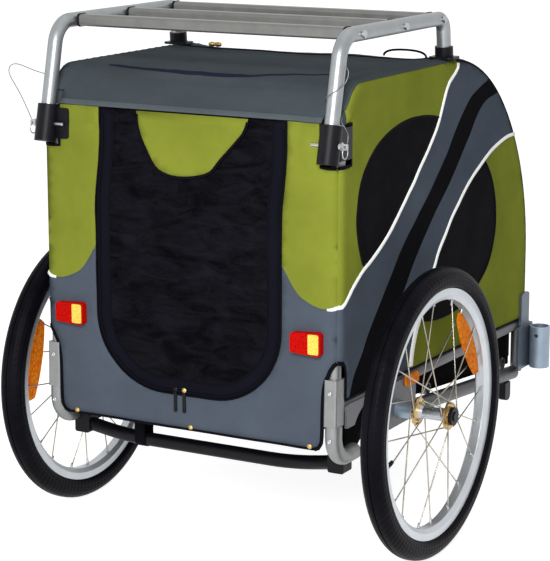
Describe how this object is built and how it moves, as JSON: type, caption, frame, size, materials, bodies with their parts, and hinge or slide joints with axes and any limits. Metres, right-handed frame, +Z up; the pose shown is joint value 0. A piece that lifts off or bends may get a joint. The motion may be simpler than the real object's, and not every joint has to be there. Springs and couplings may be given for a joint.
{
  "type": "dog bike trailer",
  "caption": "Covered two-wheel dog trailer for a bicycle: tubular frame, spoked wheels, fabric cabin with a mesh rear door and side windows, roof rack.",
  "frame": {"origin": "on the ground, midway between the rearmost and foremost points, on the centre plane", "axes": "+X to the trailer's right, +Y the way it travels, +Z up"},
  "size_m": [0.7892, 0.8556, 0.9105],
  "materials": {
    "tyre_rubber": "matte black rubber",
    "rim_alloy": "satin",
    "spoke_steel": "bright",
    "hub_alloy": "satin",
    "bearing_steel": "satin",
    "amber_reflector": "prismatic",
    "red_reflector": "prismatic",
    "axle_steel": "satin",
    "button_plastic": "satin black",
    "frame_alloy": "silver powder coat, satin",
    "rack_alloy": "silver powder coat, satin",
    "bracket_alloy": "satin",
    "black_plastic": "moulded, matte",
    "black_bar": "black powder coat",
    "pin_steel": "bright",
    "lanyard_steel": "stranded",
    "floor_board": "matte",
    "roof_fabric": "coated slate-grey weave",
    "grey_fabric": "coated slate-grey weave",
    "green_fabric": "coated olive-green weave",
    "black_binding": "woven tape",
    "black_mesh": "open net"
  },
  "bodies": {
    "trailer_frame": {"axle_right": "axle_steel", "side_hoop_right": "frame_alloy", "rack_side_tube_right": "rack_alloy", "rack_socket_right": "black_plastic", "lanyard_right": "lanyard_steel", "side_panel_right": "green_fabric", "receiver_right": "bracket_alloy", "axle_left": "axle_steel", "side_hoop_left": "frame_alloy", "rack_side_tube_left": "rack_alloy", "rack_socket_left": "black_plastic", "lanyard_left": "lanyard_steel", "side_panel_left": "green_fabric", "receiver_left": "bracket_alloy", "corner_elbows": "frame_alloy", "upright_sleeves": "frame_alloy", "upper_rails": "frame_alloy", "lower_rails": "frame_alloy", "axle_plates": "bracket_alloy", "axle_receivers": "bracket_alloy", "axle_beam": "frame_alloy", "floor_cross_tubes": "frame_alloy", "floor_board": "floor_board", "rear_cross_bar": "black_bar", "cross_bar_clamps": "black_plastic", "front_brackets": "bracket_alloy", "front_feet": "black_plastic", "rack_bars": "rack_alloy", "rack_bolts": "pin_steel", "rack_front_feet": "black_plastic", "roof_panel": "roof_fabric", "front_panel": "green_fabric", "front_mesh": "black_mesh", "side_meshes": "black_mesh", "rear_panel": "green_fabric", "tail_reflectors": "red_reflector", "tail_reflector_lenses": "amber_reflector", "side_reflectors": "amber_reflector", "roof_loop": "black_binding"},
    "wheel_right": {"tyre_right": "tyre_rubber", "rim_right": "rim_alloy", "spokes_right": "spoke_steel", "hub_right": "hub_alloy", "hub_bearings_right": "bearing_steel", "spoke_reflector_right": "amber_reflector"},
    "axle_button_right": {"axle_button_right": "button_plastic"},
    "lock_pin_right": {"lock_pin_right": "pin_steel"},
    "zip_pull_right": {"zip_pull_right": "button_plastic"},
    "wheel_left": {"tyre_left": "tyre_rubber", "rim_left": "rim_alloy", "spokes_left": "spoke_steel", "hub_left": "hub_alloy", "hub_bearings_left": "bearing_steel", "spoke_reflector_left": "amber_reflector"},
    "axle_button_left": {"axle_button_left": "button_plastic"},
    "lock_pin_left": {"lock_pin_left": "pin_steel"},
    "zip_pull_left": {"zip_pull_left": "button_plastic"},
    "rear_door": {"door_border": "black_binding", "door_mesh": "black_mesh", "door_flap": "green_fabric"}
  },
  "joints": [
    {"name": "wheel_right_spin", "type": "hinge", "parent": "trailer_frame", "child": "wheel_right", "pos_m": [0.353, -0.17673, 0.25], "axis": [1, 0, 0], "continuous": true},
    {"name": "wheel_left_spin", "type": "hinge", "parent": "trailer_frame", "child": "wheel_left", "pos_m": [-0.353, -0.17673, 0.25], "axis": [1, 0, 0], "continuous": true},
    {"name": "axle_button_right_press", "type": "slide", "parent": "trailer_frame", "child": "axle_button_right", "axis": [-1, 0, 0], "range_m": [0, 0.003], "stiffness_N_per_m": 800},
    {"name": "axle_button_left_press", "type": "slide", "parent": "trailer_frame", "child": "axle_button_left", "axis": [1, 0, 0], "range_m": [0, 0.003], "stiffness_N_per_m": 800},
    {"name": "rear_door_swing", "type": "hinge", "parent": "trailer_frame", "child": "rear_door", "pos_m": [0, -0.39423, 0.7635], "axis": [-1, 0, 0], "range_deg": [0, 160]},
    {"name": "zip_pull_right_swing", "type": "hinge", "parent": "rear_door", "child": "zip_pull_right", "pos_m": [-0.0065, -0.39753, 0.29], "axis": [-1, 0, 0], "range_deg": [0, 100]},
    {"name": "zip_pull_left_swing", "type": "hinge", "parent": "rear_door", "child": "zip_pull_left", "pos_m": [-0.0235, -0.39753, 0.29], "axis": [-1, 0, 0], "range_deg": [0, 100]},
    {"name": "lock_pin_right_pull", "type": "slide", "parent": "trailer_frame", "child": "lock_pin_right", "axis": [1, 0, 0], "range_m": [0, 0.05], "deforming": ["lanyard_right"]},
    {"name": "lock_pin_left_pull", "type": "slide", "parent": "trailer_frame", "child": "lock_pin_left", "axis": [-1, 0, 0], "range_m": [0, 0.05], "deforming": ["lanyard_left"]}
  ]
}
